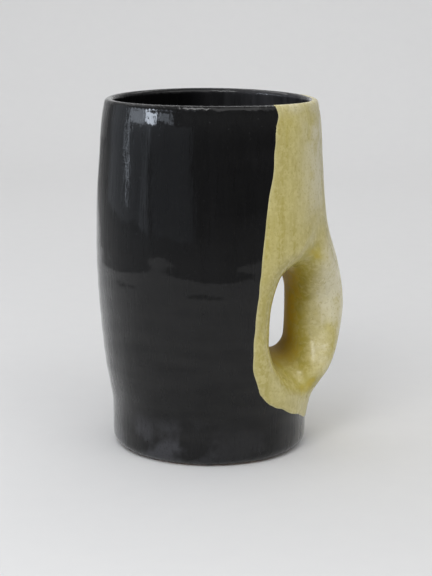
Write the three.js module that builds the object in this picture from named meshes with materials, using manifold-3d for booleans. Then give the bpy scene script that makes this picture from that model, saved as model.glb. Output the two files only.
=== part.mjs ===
// An earthenware jug in millimetres, +Z up. The wall is thrown round the Z axis and pressed in at +X,
// where a thick handle bridges the hollow so that fingers pass between handle and wall. The underside of the
// floor is the plane z = 0. Black glaze lines the jug and covers most of the outside, and yellow glaze covers
// the handle and the wall round it.

import * as THREE from "three";
import { mergeVertices } from "three/addons/utils/BufferGeometryUtils.js";
import Module from "manifold-3d";

// Outside of the glazed jug: radii at heights

const jugHeight = 220;
const footRadius = 61.4;
const baseEdgeRadius = 7;
const flareRadius = 62.1;
const flareHeight = 15;
const waistRadius = 62.0;
const waistHeight = 24;
const swellRadius = 66.4;
const swellHeight = 54;
const bellyRadius = 71.7;
const bellyHeight = 122;
const shoulderRadius = 69.6;
const shoulderDrop = 36;
const neckRadius = 68.0;
const neckDrop = 13;
const rimRadius = 66.2;

// Clay, slip and glaze thicknesses, and the clearance between neighbouring pieces

const wallThickness = 5.5;
const lipThickness = 3.2;
const lipTaperHeight = 50;
const floorThickness = 9;
const slipThickness = 1;
const slipInset = 0.6;
const glazeThickness = 0.6;
const jointGap = 0.3;

// Pressed side of the wall: its distance from the axis where it is deepest, and how it eases out

const pressedDistance = 26.6;
const pressedLow = 60;
const pressedHigh = 85;
const pressedFadeAbove = 69;
const pressedFadeBelow = 34;
const pressedFadeCurve = 2.3;
const pressedEdgeRounding = 18;

// Hollow behind the handle: the heights between which its roof and floor close in, how they curve and tilt
// towards the open ends, and the part of the handle's depth over which they close in more slowly

const roofLow = 110;
const roofHigh = 130;
const roofCurve = 300;
const floorLow = 35;
const floorHigh = 64;
const floorCurve = 110;
const floorTilt = 0.85;
const floorTiltHalfWidth = 50;
const floorTiltDistance = 50;
const rootNear = 42;
const rootFar = 62;
const roofRootLength = 30;
const floorRootLength = 3.75;

// Handle: its outermost line, its section beside the hollow, how it spreads into the wall, and how far it turns
// round the middle of the hollow to each side, in degrees

const handleTop = 160;
const handleBottom = 18;
const handleReach = 87;
const handleReachHeight = 87;
const handleShoulderReach = 82.4;
const handleShoulderHeight = 115;
const handleNeckReach = 74.4;
const handleNeckHeight = 139;
const handleHipReach = 79.2;
const handleHipHeight = 54;
const handleHeelReach = 70.2;
const handleHeelHeight = 36;
const handleSink = 2.2;
const handleInnerDistance = 50.2;
const handleHalfWidth = 21.5;
const handleTopSpread = 20;
const handleTopSpreadFrom = 92;
const handleTopSpreadTo = 128;
const handleFootSpread = 12;
const handleFootSpreadFrom = 78;
const handleFootSpreadTo = 46;
const handleSquareness = 2.2;
const handleSeam = 16;
const swellHalfWidth = 34;
const swellTopSpread = 14;
const swellTopHeight = 150;
const handleTurn = 115;

// Yellow glaze: how far round from the handle it reaches, in degrees, and its lower edge

const yellowRimAngle = 66.5;
const yellowMiddleAngle = 79;
const yellowMiddleHeight = 80;
const yellowCornerAngle = 74;
const yellowCornerHeight = 41;
const yellowLowestHeight = 14;
const yellowLowerCurve = 1.6;

// How finely the round surfaces are cut into facets

const turnFacets = 48;
const coarseStep = 24;
const fineStep = 12;
const baseEdgeSteps = 4;
const lipSteps = 6;
const lipCoverSteps = 4;
const handleAround = 28;
const handleLevels = 26;
const sectionStep = 0.5;
const fieldAround = 16;
const fieldLevels = 8;
const halvings = 30;
const mergeDistance = 1e-4;

const wasm = await Module();
wasm.setup();

// Materials

function finish(color, roughness) {
  return new THREE.MeshStandardMaterial({ color, roughness, metalness: 0 });
}

const bareClay = finish("#b9906c", 0.9);
const drySlip = finish("#cda984", 0.95);
const blackGlaze = finish("#16140f", 0.15);
const yellowGlaze = finish("#b3a04e", 0.3);

// Solids: closed geometry in and out of the library that joins and cuts

function solidOf(geometry) {
  geometry.deleteAttribute("normal");
  geometry.deleteAttribute("uv");
  const merged = mergeVertices(geometry, mergeDistance);
  const vertProperties = new Float32Array(merged.attributes.position.array);
  const triVerts = new Uint32Array(merged.index.array);
  return new wasm.Manifold(new wasm.Mesh({ numProp: 3, vertProperties, triVerts }));
}

function meshOf(name, solid, material) {
  const { numProp, vertProperties, triVerts } = solid.getMesh();
  const geometry = new THREE.BufferGeometry();
  geometry.setAttribute("position", new THREE.BufferAttribute(vertProperties, numProp));
  geometry.setIndex(new THREE.BufferAttribute(triVerts, 1));
  geometry.computeVertexNormals();
  const mesh = new THREE.Mesh(geometry, material);
  mesh.name = name;
  return mesh;
}

function moveVertices(geometry, move) {
  const position = geometry.attributes.position;
  const point = new THREE.Vector3();
  for (let i = 0; i < position.count; i += 1) {
    point.fromBufferAttribute(position, i);
    move(point);
    position.setXYZ(i, point.x, point.y, point.z);
  }
  return geometry;
}

// Outside line of the thrown wall, before it is pressed

const lipHeight = jugHeight - glazeThickness - jointGap - lipThickness / 2;
const outsideLine = new THREE.CubicInterpolant(
  [baseEdgeRadius, flareHeight, waistHeight, swellHeight, bellyHeight, jugHeight - shoulderDrop,
    jugHeight - neckDrop, lipHeight],
  [footRadius, flareRadius, waistRadius, swellRadius, bellyRadius, shoulderRadius, neckRadius, rimRadius],
  1,
  [0],
);

function outsideRadius(height) {
  if (height >= baseEdgeRadius) {
    return outsideLine.evaluate(height)[0];
  }
  const rise = baseEdgeRadius - height;
  return footRadius - baseEdgeRadius + Math.sqrt(baseEdgeRadius ** 2 - rise ** 2);
}

// Depths below the glazed outside at which each layer starts

const clayOutside = -glazeThickness - jointGap;

function clayInside(height) {
  const share = THREE.MathUtils.smoothstep(height, lipHeight - lipTaperHeight, lipHeight);
  return clayOutside - THREE.MathUtils.lerp(wallThickness, lipThickness, share);
}

function linerOutside(height) {
  return clayInside(height) - jointGap;
}

function linerInside(height) {
  return linerOutside(height) - glazeThickness;
}

// Pressing: the wall flattens towards a plane square to the handle, with a round turn at each side, and comes
// back to its thrown form above and below the hollow. Each field is below zero inside and above zero outside

function pressedPlane(height) {
  const above = Math.max(height - pressedHigh, 0) / pressedFadeAbove;
  const below = Math.max(pressedLow - height, 0) / pressedFadeBelow;
  const fade = (above + below) ** pressedFadeCurve;
  return pressedDistance + (bellyRadius - pressedDistance) * fade;
}

function smoothMax(a, b, rounding) {
  const near = Math.max(rounding - Math.abs(a - b), 0) / rounding;
  return Math.max(a, b) + (near * near * rounding) / 4;
}

function hollowShare(x, y, height) {
  const root = THREE.MathUtils.smoothstep(x, rootNear, rootFar);
  const roofRise = y ** 2 / (2 * roofCurve);
  const floorFall = y ** 2 / (2 * floorCurve);
  const floorRise = floorTilt * (floorTiltDistance - x) * (y / floorTiltHalfWidth) ** 2;
  const roofRoot = roofRootLength * root;
  const floorRoot = floorRootLength * root;
  const below = height + floorFall - floorRise;
  const fromRoof = THREE.MathUtils.smoothstep(height - roofRise, roofLow - roofRoot, roofHigh + roofRoot);
  const fromFloor = THREE.MathUtils.smoothstep(below, floorLow - floorRoot, floorHigh + floorRoot);
  return fromFloor - fromRoof;
}

function turnedField(x, y, height, depth) {
  return Math.hypot(x, y) - outsideRadius(height) - depth;
}

function pressedField(x, y, height, depth) {
  const turned = turnedField(x, y, height, depth);
  return smoothMax(turned, x - pressedPlane(height) - depth, pressedEdgeRounding);
}

function wallField(x, y, height, depth) {
  const turned = turnedField(x, y, height, depth);
  const pressed = pressedField(x, y, height, depth);
  return THREE.MathUtils.lerp(turned, pressed, hollowShare(x, y, height));
}

// Halves the way between a near place inside a surface and a far place outside it

function halve(near, far, isOutside) {
  let inner = near;
  let outer = far;
  for (let halving = 0; halving < halvings; halving += 1) {
    const middle = (inner + outer) / 2;
    if (isOutside(middle)) {
      outer = middle;
    } else {
      inner = middle;
    }
  }
  return outer;
}

function pressIn(point) {
  const turnedRadius = Math.hypot(point.x, point.y);
  if (turnedRadius === 0) {
    return;
  }
  const depth = turnedRadius - outsideRadius(point.z);
  const { x, y, z } = point;
  const share = halve(0, 1, (part) => wallField(x * part, y * part, z, depth) > 0);
  point.x *= share;
  point.y *= share;
}

// Thrown pieces: a profile of [radius, height] turned round the axis, then pressed

function thrown(profile) {
  const points = profile.map(([radius, height]) => new THREE.Vector2(radius, height));
  const geometry = new THREE.LatheGeometry(points, turnFacets);
  matchDiagonals(geometry.index, points);
  geometry.rotateX(Math.PI / 2);
  return solidOf(moveVertices(geometry, pressIn));
}

// Facets where the profile runs down are split along the other diagonal, so that nested layers stay nested.
// Each facet is two triangles

function matchDiagonals(index, points) {
  const triangle = 3;
  const facet = 2 * triangle;
  for (let start = 0; start < index.count; start += facet) {
    const corner = index.getX(start);
    const step = corner % points.length;
    if (points[step + 1].y < points[step].y) {
      const across = index.getX(start + triangle);
      index.setX(start + triangle - 1, across);
      index.setX(start + facet - 1, corner);
    }
  }
}

const slipFoot = floorThickness + jointGap;
const wallFoot = slipFoot + slipThickness + jointGap;

function ringHeights() {
  const heights = [];
  let height = wallFoot;
  while (height < lipHeight - fineStep) {
    heights.push(height);
    height += height < handleTop ? fineStep : coarseStep;
  }
  heights.push(lipHeight - fineStep / 2, lipHeight);
  return heights;
}

const rings = ringHeights();

function sideLine(heights, depthAt) {
  return heights.map((height) => [outsideRadius(height) + depthAt(height), height]);
}

function lipArc(radius, firstStep, lastStep) {
  const middle = outsideRadius(lipHeight) + clayOutside - lipThickness / 2;
  const arc = [];
  for (let step = firstStep; step <= lastStep; step += 1) {
    const angle = (Math.PI * step) / lipSteps;
    arc.push([middle + radius * Math.cos(angle), lipHeight + radius * Math.sin(angle)]);
  }
  return arc;
}

function baseEdgeHeights(firstStep) {
  const heights = [];
  for (let step = firstStep; step <= baseEdgeSteps; step += 1) {
    heights.push(baseEdgeRadius * (1 - Math.cos((Math.PI * step) / (2 * baseEdgeSteps))));
  }
  return heights;
}

function closed(profile) {
  return [...profile, profile[0]];
}

function floorSlab() {
  const edge = sideLine([...baseEdgeHeights(0), floorThickness], () => clayOutside);
  return thrown([[0, 0], ...edge, [0, floorThickness]]);
}

function floorSlipJoint() {
  const outer = outsideRadius(slipFoot) + clayOutside - slipInset;
  const inner = outsideRadius(slipFoot) + clayInside(slipFoot) + slipInset;
  const top = slipFoot + slipThickness;
  return thrown(closed([[inner, slipFoot], [outer, slipFoot], [outer, top], [inner, top]]));
}

function bodyWall() {
  const outside = sideLine(rings.slice(0, -1), () => clayOutside);
  const inside = sideLine(rings.slice(0, -1), clayInside).reverse();
  return thrown(closed([...outside, ...lipArc(lipThickness / 2, 0, lipSteps), ...inside]));
}

function innerGlaze() {
  const heights = [slipFoot, ...rings.slice(0, -1)];
  const lipRadius = lipThickness / 2 + jointGap;
  const againstWall = [
    ...sideLine(heights, linerOutside),
    ...lipArc(lipRadius, lipSteps, lipSteps),
  ];
  const floorTop = slipFoot + glazeThickness;
  const towardsDrink = [
    ...sideLine([floorTop, ...rings.slice(0, -1)], linerInside),
    ...lipArc(lipRadius + glazeThickness, lipSteps, lipSteps),
  ];
  return thrown([[0, slipFoot], ...againstWall, ...towardsDrink.reverse(), [0, floorTop]]);
}

function outerCoat() {
  const heights = [...baseEdgeHeights(baseEdgeSteps / 2), ...rings.slice(0, -1)];
  const lipRadius = lipThickness / 2 + jointGap;
  const againstClay = [
    ...sideLine(heights, () => -glazeThickness),
    ...lipArc(lipRadius, 0, lipCoverSteps),
  ];
  const shown = [
    ...sideLine(heights, () => 0),
    ...lipArc(lipRadius + glazeThickness, 0, lipCoverSteps),
  ];
  return thrown(closed([...shown, ...againstClay.reverse()]));
}

// Everything inside the pressed wall's outer face moved out by a depth, to trim what sits on the wall

function insideWall(depth) {
  const heights = [...baseEdgeHeights(baseEdgeSteps), ...rings.slice(0, -1)];
  const side = sideLine(heights, () => depth);
  return thrown([[0, baseEdgeRadius], ...side, [0, rings.at(-2)]]);
}

// Handle: a bar with an oval section beside the hollow, which swells out of the wall above and below it

const handleLine = new THREE.CubicInterpolant(
  [handleBottom, handleHeelHeight, handleHipHeight, handleReachHeight, handleShoulderHeight,
    handleNeckHeight, handleTop],
  [outsideRadius(handleBottom) - handleSink, handleHeelReach, handleHipReach, handleReach,
    handleShoulderReach, handleNeckReach, outsideRadius(handleTop) - handleSink],
  1,
  [0],
);
const buriedDistance = pressedDistance / 2;

function handleReachAt(height) {
  return handleLine.evaluate(height)[0];
}

function barField(x, y, height) {
  const middle = (handleInnerDistance + handleReachAt(height)) / 2;
  const top = THREE.MathUtils.smoothstep(height, handleTopSpreadFrom, handleTopSpreadTo);
  const foot = 1 - THREE.MathUtils.smoothstep(height, handleFootSpreadTo, handleFootSpreadFrom);
  const halfWidth = handleHalfWidth + handleTopSpread * top + handleFootSpread * foot;
  const halfDepth = middle - handleInnerDistance;
  const deep = Math.abs((x - middle) / halfDepth) ** handleSquareness;
  const wide = Math.abs(y / halfWidth) ** handleSquareness;
  const share = (deep + wide) ** (1 / handleSquareness);
  return share === 0 ? -halfDepth : Math.hypot(x - middle, y) * (1 - 1 / share);
}

function swollenField(x, y, height) {
  const top = THREE.MathUtils.smoothstep(height, roofLow, swellTopHeight);
  const across = Math.min(Math.abs(y) / (swellHalfWidth + swellTopSpread * top), 1);
  const swell = handleReachAt(height) - outsideRadius(height) + handleSink;
  return turnedField(x, y, height, swell * (1 - across ** 2) ** 2 - handleSink);
}

function handleField(x, y, height) {
  const pressed = pressedField(x, y, height, -handleSink);
  const beside = -smoothMax(-pressed, -barField(x, y, height), handleSeam);
  return THREE.MathUtils.lerp(swollenField(x, y, height), beside, hollowShare(x, y, height));
}

// Sections of the handle stand round the middle of the hollow like the spokes of a wheel. Each has its own
// middle, halfway through the handle, and reaches out from there to the handle's surface or to where the
// handle is buried in the wall

const hollowMiddle = new THREE.Vector3(
  (pressedDistance + handleInnerDistance) / 2,
  0,
  (roofLow + floorHigh) / 2,
);

function reachToLimit(from, along) {
  let limit = jugHeight;
  if (along.x < 0) {
    limit = Math.min(limit, (buriedDistance - from.x) / along.x);
  }
  if (along.z !== 0) {
    const end = along.z > 0 ? handleTop : handleBottom;
    limit = Math.min(limit, (end - from.z) / along.z);
  }
  return limit;
}

function reachToSurface(from, along, growth, leaving) {
  const limit = reachToLimit(from, along);
  const point = new THREE.Vector3();
  const isPast = (reach) => {
    point.copy(from).addScaledVector(along, reach);
    return handleField(point.x, point.y, point.z) > growth === leaving;
  };
  for (let reach = sectionStep; reach < limit; reach += sectionStep) {
    if (isPast(reach)) {
      return halve(reach - sectionStep, reach, isPast);
    }
  }
  return limit;
}

function handleSection(level) {
  const turn = THREE.MathUtils.degToRad((2 * level / handleLevels - 1) * handleTurn);
  const outward = new THREE.Vector3(Math.cos(turn), 0, Math.sin(turn));
  const start = reachToSurface(hollowMiddle, outward, 0, false) + sectionStep;
  const middle = hollowMiddle.clone().addScaledVector(outward, start);
  const depth = reachToSurface(middle, outward, 0, true);
  return { outward, middle: middle.addScaledVector(outward, depth / 2) };
}

const handleSections = Array.from({ length: handleLevels + 1 }, (_, level) => handleSection(level));

function handleShape(growth) {
  const geometry = new THREE.CylinderGeometry(1, 1, 1, handleAround, handleLevels);
  geometry.rotateX(Math.PI / 2);
  return solidOf(moveVertices(geometry, (point) => {
    const { outward, middle } = handleSections[Math.round((point.z + 0.5) * handleLevels)];
    const share = Math.round(Math.hypot(point.x, point.y));
    const along = outward.clone().multiplyScalar(point.x).setY(point.y).normalize();
    const reach = share * reachToSurface(middle, along, growth, true);
    point.copy(middle).addScaledVector(along, reach);
  }));
}

function handle() {
  return handleShape(clayOutside).subtract(insideWall(clayOutside + 2 * jointGap + slipThickness));
}

function half(upper) {
  const size = 2 * jugHeight;
  const geometry = new THREE.BoxGeometry(size, size, size);
  geometry.translate(0, 0, upper ? hollowMiddle.z + jugHeight : hollowMiddle.z - jugHeight);
  return solidOf(geometry);
}

function handleSlipJoint(upper) {
  const inner = clayOutside + jointGap;
  const layer = insideWall(inner + slipThickness).subtract(insideWall(inner));
  return handleShape(clayOutside - slipInset).intersect(layer).intersect(half(upper));
}

// Yellow field: a curved block round the handle side, from its lower edge up past the lip

function fieldAngle(height) {
  if (height > yellowMiddleHeight) {
    const rise = (height - yellowMiddleHeight) / (jugHeight - yellowMiddleHeight);
    return THREE.MathUtils.lerp(yellowMiddleAngle, yellowRimAngle, rise);
  }
  const fall = (yellowMiddleHeight - height) / (yellowMiddleHeight - yellowCornerHeight);
  return THREE.MathUtils.lerp(yellowMiddleAngle, yellowCornerAngle, Math.min(fall, 1));
}

function yellowField(inset) {
  const geometry = new THREE.BoxGeometry(2, 1, 1, fieldAround, fieldLevels, 1);
  const top = jugHeight + baseEdgeRadius;
  const outer = bellyRadius + handleReach;
  return solidOf(moveVertices(geometry, (point) => {
    const rise = yellowCornerHeight - yellowLowestHeight;
    const low = yellowLowestHeight + inset + rise * Math.abs(point.x) ** yellowLowerCurve;
    const height = low + (point.y + 0.5) * (top - low);
    const spread = THREE.MathUtils.degToRad(fieldAngle(height)) - inset / outsideRadius(height);
    const radius = THREE.MathUtils.lerp(outer, buriedDistance, 0.5 - point.z);
    point.set(radius * Math.cos(point.x * spread), radius * Math.sin(point.x * spread), height);
  }));
}

function blackCoat() {
  return outerCoat().subtract(yellowField(0));
}

function yellowCoat() {
  const onWall = outerCoat().intersect(yellowField(jointGap));
  const onHandle = handleShape(0).subtract(insideWall(-glazeThickness));
  return onWall.add(onHandle).subtract(handleShape(-glazeThickness));
}

const jug = new THREE.Group();
jug.name = "earthenware_jug";
jug.add(
  meshOf("floor_slab", floorSlab(), bareClay),
  meshOf("floor_slip_joint", floorSlipJoint(), drySlip),
  meshOf("body_wall", bodyWall(), bareClay),
  meshOf("handle", handle(), bareClay),
  meshOf("upper_slip_joint", handleSlipJoint(true), drySlip),
  meshOf("lower_slip_joint", handleSlipJoint(false), drySlip),
  meshOf("inner_glaze", innerGlaze(), blackGlaze),
  meshOf("black_glaze", blackCoat(), blackGlaze),
  meshOf("yellow_glaze", yellowCoat(), yellowGlaze),
);

export default jug;
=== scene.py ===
"""A thick-handled earthenware jug in black and yellow glaze, on a pale studio floor.

The jug is one closed surface, described by how far a point lies outside it. That surface is meshed,
cut along the edges of the glazes, and each part of it becomes a thin closed coat. Sizes are in
millimetres until a mesh is made; Blender's own objects are in metres. The axis of the jug is Z, its
underside is at height 0 and its handle points along +X.
"""

import math

import bpy
import numpy as np
from mathutils import Matrix, Vector


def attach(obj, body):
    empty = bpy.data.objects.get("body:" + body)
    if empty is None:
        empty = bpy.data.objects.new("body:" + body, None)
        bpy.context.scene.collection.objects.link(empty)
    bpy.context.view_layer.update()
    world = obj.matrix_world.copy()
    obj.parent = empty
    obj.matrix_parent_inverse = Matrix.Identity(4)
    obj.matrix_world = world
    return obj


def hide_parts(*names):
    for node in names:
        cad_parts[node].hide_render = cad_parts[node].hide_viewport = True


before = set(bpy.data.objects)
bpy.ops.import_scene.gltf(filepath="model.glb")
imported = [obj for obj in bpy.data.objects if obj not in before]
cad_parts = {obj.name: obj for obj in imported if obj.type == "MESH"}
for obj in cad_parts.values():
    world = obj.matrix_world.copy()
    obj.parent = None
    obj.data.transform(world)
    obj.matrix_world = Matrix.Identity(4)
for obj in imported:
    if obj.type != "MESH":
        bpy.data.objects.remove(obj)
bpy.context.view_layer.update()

MILLIMETRE = 0.001
DEGREE = math.pi / 180

# Wall: the glazed outside, from the foot up to the lip
OUTSIDE_HEIGHTS = (0, 15, 24, 54, 122, 184, 207, 217.5)
OUTSIDE_RADII = (61.4, 61.9, 61.8, 66.2, 71.5, 69.4, 67.8, 66.0)
RIM_HEIGHT = 220.0
RIM_SADDLE = 0.5
WALL_THICKNESS = 7.3
LIP_THICKNESS = 5.2
LIP_TAPER_HEIGHT = 50.0
LIP_ROUNDING = 2.5
BASE_EDGE_RADIUS = 7.0
FLOOR_TOP = 9.9
INSIDE_CORNER_RADIUS = 10.0

# Side of the wall that is pressed in behind the handle
PRESSED_DEPTH = 26.6
PRESSED_LOW = 60.0
PRESSED_HIGH = 85.0
PRESSED_RAMP_DOWN = 34.0
PRESSED_RAMP_UP = 69.0
PRESSED_RAMP_POWER = 2.3
PRESSED_FOLD = 18.0
WIDEST_RADIUS = 71.7

# Unevenness of the hand-thrown wall: each wave has a height and two ripples, and each ripple has its
# turns round the wall, its length up the wall and its start
HAND_WAVES = (
    (0.22, (2, 41, 0.6), (0, 29, 1.1)),
    (0.16, (5, -17, 2.0), (3, 23, 0.3)),
    (0.07, (11, 31, 0.0), (7, -9, 1.4)),
)
INSIDE_WAVE_SHARE = 0.7
INSIDE_WAVE_TURN = 0.5

# Throwing rings, which fade out in the upper half of the wall
RING_DEPTH = 0.07
RING_LENGTH = 2.1
RING_SWAY = 1.6
RING_SWAY_START = 0.4
RING_WOBBLES = 3
RINGS_FADE = (150, 110)

# Upright strip in the front of the wall, with a ridge across it; beside the strip the wall leans out
FLAT_ANGLE = -105.0 * DEGREE
FLAT_HEIGHT = 122.0
FLAT_LEAN = 0.006
FLAT_ASIDE = (0.25, 0.45)
FLAT_FOOT = (60, 90)
FLAT_TOP = (180, 150)
RIDGE_HEIGHT = 107.0
RIDGE_RISE = 0.07
RIDGE_HALF_HEIGHT = 4.5
RIDGE_HALF_ANGLE = 0.24

# Handle: how far its back stands out from the turned wall at each height
HANDLE_HEIGHTS = (16, 30, 42, 54, 68, 87, 115, 139, 162, 180)
HANDLE_SWELLS = (0, 4.2, 9.2, 12.8, 15.9, 16.8, 10.8, 2.9, 0.2, 0)
HANDLE_HALF_WIDTH = 21.5
HANDLE_TOP_SPREAD = 20.0
HANDLE_TOP_SPREAD_FROM = 92.0
HANDLE_TOP_SPREAD_TO = 128.0
HANDLE_FOOT_SPREAD = 12.0
HANDLE_FOOT_SPREAD_FROM = 78.0
HANDLE_FOOT_SPREAD_TO = 46.0
HANDLE_SQUARENESS = 2.2
HANDLE_LEAST_SIDEWAYS = 0.01
SWELL_HALF_WIDTH = 34.0
SWELL_TOP_SPREAD = 14.0
SWELL_TOP = 150.0

# Opening between the handle and the pressed wall
OPENING_SIDE = 50.2
OPENING_ROOF_START = 110.0
OPENING_ROOF_END = 130.0
OPENING_FLOOR_START = 64.0
OPENING_FLOOR_END = 35.0
OPENING_ROOF_CURVE = 300.0
OPENING_FLOOR_CURVE = 110.0
OPENING_FLOOR_TILT = 0.85
OPENING_FLOOR_TILT_FROM = 50.0
OPENING_FLOOR_TILT_HALF_WIDTH = 50.0
OPENING_SEAM = 16.0
ROOF_ROOT_LENGTH = 30.0
FLOOR_ROOT_LENGTH = 3.75
ROOT_NEAR = 42.0
ROOT_FAR = 62.0

# Yellow field: its painted edge, as an angle from the handle at each height
YELLOW_HEIGHTS = (40, 64, 80, 124, 166, 180, 194, 208, 215, 220)
YELLOW_ANGLES = (72, 79, 79, 76.7, 72.6, 69.7, 69.0, 67.3, 65.5, 66.7)
YELLOW_LOWEST = 14.0
YELLOW_LOW_RISE = 27.0
YELLOW_LOW_POWER = 1.6
YELLOW_CORNER = 8.0
YELLOW_PROUD = 0.3
YELLOW_EDGE_WIDTH = 0.5
YELLOW_LIP_WIDTH = 2.0
YELLOW_ROWS = (-0.6, 0.0, 0.3, 0.8, 1.6)

# Waves and finer frets in the painted edge: lengths up its sides, turns along its low end
FAR_SWAY_DEGREES = 1.5
FAR_SWAY_LENGTH = 33.0
FAR_SWAY_START = 0.5
SIDE_WAVE = 0.3
SIDE_WAVE_LENGTH = 9.7
SIDE_WAVE_BEAT = 4.1
SIDE_WAVE_BEAT_START = 0.7
SIDE_FRET = 0.12
SIDE_FRET_LENGTH = 2.3
SIDE_FRET_START = 1.0
SIDE_FRET_SWAY = 2
SIDE_FRET_BEAT = 17.0
SIDE_FAR_SHIFT = 2
LOW_WAVE = 0.6
LOW_WAVE_TURNS = 13
LOW_WAVE_START = 0.4
LOW_WAVE_BEATS = 7
LOW_FRET = 0.2
LOW_FRET_TURNS = 31
LOW_FRET_SWAY = 4
LOW_FRET_BEATS = 6
LOW_FRET_START = 1.0

# Other edges of the coats
LINER_EDGE = -1.8
LINER_FAR_RUN = 3.0
LINER_FAR_FROM = 4.0
LINER_FAR_TO = 22.0
LIP_ROWS = (-3.4, LINER_EDGE, 0.0, 1.8, 3.4)
FOOT_EDGE = 0.7
FOOT_WAVE = 0.08
FOOT_WAVE_TURNS = 3
FOOT_WAVE_START = 0.8
FOOT_FRET = 0.06
FOOT_FRET_TURNS = 8
COAT_THICKNESS = 0.8

# Where the glaze is shut in (browner glaze with painted shade), where shade is painted on the floor of the
# hollow, where the glaze ran thin and where sheen is painted, and where light is painted on the lining:
# between which places each share rises to 1
EDGE_REACH = 20.0
SHUT_DISTANCES = (8.0, 16.0, 24.0)
SHUT_ABOVE_ROOF = 30.0
FLOOR_SHADE_HOLLOW = (0.55, 0.97)
FLOOR_SHADE_HEIGHTS = (80, 62)
FLOOR_SHADE_INNER_SIDE = (20, 34)
FLOOR_SHADE_OUTER_SIDE = (56, 44)
THIN_HANDLE_SIDE = (56, 70)
THIN_HANDLE_FOOT = (36, 60)
THIN_HANDLE_TOP = (150, 118)
SHEEN_ABOVE_SIDE = (34, 60)
SHEEN_ABOVE_HEIGHTS = (130, 175)
THIN_LIP_SHARE = 0.7
THIN_LIP_HEIGHTS = (211, 218)
INSIDE_LIGHT_DEPTHS = (-2.0, -4.5)
INSIDE_LIGHT_HEIGHTS = (150, 215)
INSIDE_LIGHT_SIDE = (-10, 50)

# Meshing
GRID_STEP = 1.76
GRID_MARGIN = 4.4
PROJECTION_STEPS = 4
SHORT_PROJECTION_STEPS = 2
RELAX_ROUNDS = 3
RELAX_SHARE = 0.5
SLOPE_STEP = 0.05
LEAST_SQUARED_SLOPE = 0.05
LEAST_LENGTH = 1e-12
SNAP_SHARE = 0.16

# Noises in the glazes: how many to the metre, their detail, and their stretch along each axis
BLACK_NOISES = {
    "streaks": (420, 4, (1, 1, 0.08)),
    "ridges": (120, 2, (1, 1, 0.05)),
    "rings": (100, 4, (0.16, 0.16, 1)),
    "clouds": (60, 4, (1, 1, 1)),
    "dimples": (170, 1.5, (1, 1, 0.8)),
    "grain": (800, 2, (1, 1, 1)),
}
YELLOW_NOISES = {
    "streaks": (420, 4, (1, 1, 0.07)),
    "bands": (110, 3, (1, 1, 0.06)),
    "clouds": (48, 4, (1, 1, 0.5)),
    "mottle": (320, 6, (1, 1, 1)),
    "blotches": (110, 5, (1, 1, 1)),
    "patches": (34, 4, (1, 1, 1)),
    "specks": (650, 3, (1, 1, 1)),
}

# Places on the black glaze, in metres: where the low rings and clouds come in, and where the painted
# highlight low on the foot comes in, strongest on the side away from the handle
LOW_HEIGHTS = (0.13, 0.07)
FOOT_HIGHLIGHT_HEIGHTS = (0.032, 0.014)
FOOT_HIGHLIGHT_SIDE = (0.0, -0.03)

# Colours of the black glaze
BLACK_GROUND = (0.003, 0.003, 0.0032, 1)
BLACK_RIDGE = (0.004, 0.004, 0.0043, 1)
BLACK_RING = (0.009, 0.0088, 0.0086, 1)
BLACK_CLOUD = (0.009, 0.009, 0.009, 1)
# Painted highlight: a pale bluish patch low on the foot
BLACK_FOOT_PAINTED_HIGHLIGHT = (0.04, 0.04, 0.045, 1)
BLACK_GRAIN = (0.006, 0.006, 0.006, 1)
# Painted light: grey on the lining under the lip, on the handle's side
BLACK_PAINTED_INSIDE_LIGHT = (0.05, 0.05, 0.054, 1)

# Colours of the yellow glaze
YELLOW_DARK = (0.40, 0.33, 0.062, 1)
YELLOW_LIGHT = (0.47, 0.40, 0.095, 1)
YELLOW_BAND = (0.58, 0.51, 0.20, 1)
YELLOW_STREAK = (0.60, 0.53, 0.21, 1)
YELLOW_MOTTLE = (0.62, 0.55, 0.22, 1)
# Pale glaze where it ran thin, and painted sheen on the handle and the upper wall beside it
YELLOW_THIN_AND_SHEEN = (0.72, 0.67, 0.46, 1)
YELLOW_BLOTCH = (0.48, 0.40, 0.09, 1)
YELLOW_SPECK = (0.36, 0.285, 0.05, 1)
# Browner glaze in the hollow, with painted shade where the hollow shuts it in
YELLOW_HOLLOW_SHADE = (0.44, 0.375, 0.07, 1)
YELLOW_SHUT_IN = (0.62, 0.45, 0.07, 1)
# Painted shade on the floor of the hollow
YELLOW_PAINTED_FLOOR_SHADE = (0.33, 0.225, 0.045, 1)
# Pale line along the yellow's edge: thin glaze there, with a painted highlight
YELLOW_EDGE = (0.60, 0.56, 0.34, 1)

# Colours of the clay, the stage and the room
CLAY_DARK = (0.46, 0.29, 0.18, 1)
CLAY_LIGHT = (0.60, 0.41, 0.27, 1)
CLAY_SPECK = (0.2, 0.11, 0.07, 1)
PAPER_DARK = (0.70, 0.70, 0.70, 1)
PAPER_LIGHT = (0.72, 0.72, 0.715, 1)
STUDIO_DARK = (0.30, 0.30, 0.30, 1)
STUDIO_LIGHT = (0.32, 0.32, 0.32, 1)
ROOM_AT_EYE_LEVEL = (0.16, 0.16, 0.165, 1)
ROOM_OVERHEAD = (0.62, 0.62, 0.63, 1)

# Fine relief in the materials: how much of each noise it takes, pin-holes to the metre, depths in metres
BLACK_RELIEF = {"streaks": 1.5, "dimples": 0.9, "ridges": 1.5, "grain": 0.05}
PITS_TO_THE_METRE = 240.0
GLAZE_RELIEF_DEPTH = 0.00008
CLAY_RELIEF_DEPTH = 0.00015

# Camera, fitted to the rim, base and sides in the photograph
CAMERA_DISTANCE = 0.9833
CAMERA_HEIGHT = 0.3077
CAMERA_AZIMUTH = -12.0 * DEGREE
CAMERA_PITCH = 11.97 * DEGREE
CAMERA_YAW = 0.227 * DEGREE
CAMERA_ROLL = 0.41 * DEGREE
PHOTO_HEIGHT = 576
FOCAL_PIXELS = 1582.7
SENSOR_HEIGHT = 24.0

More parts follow.
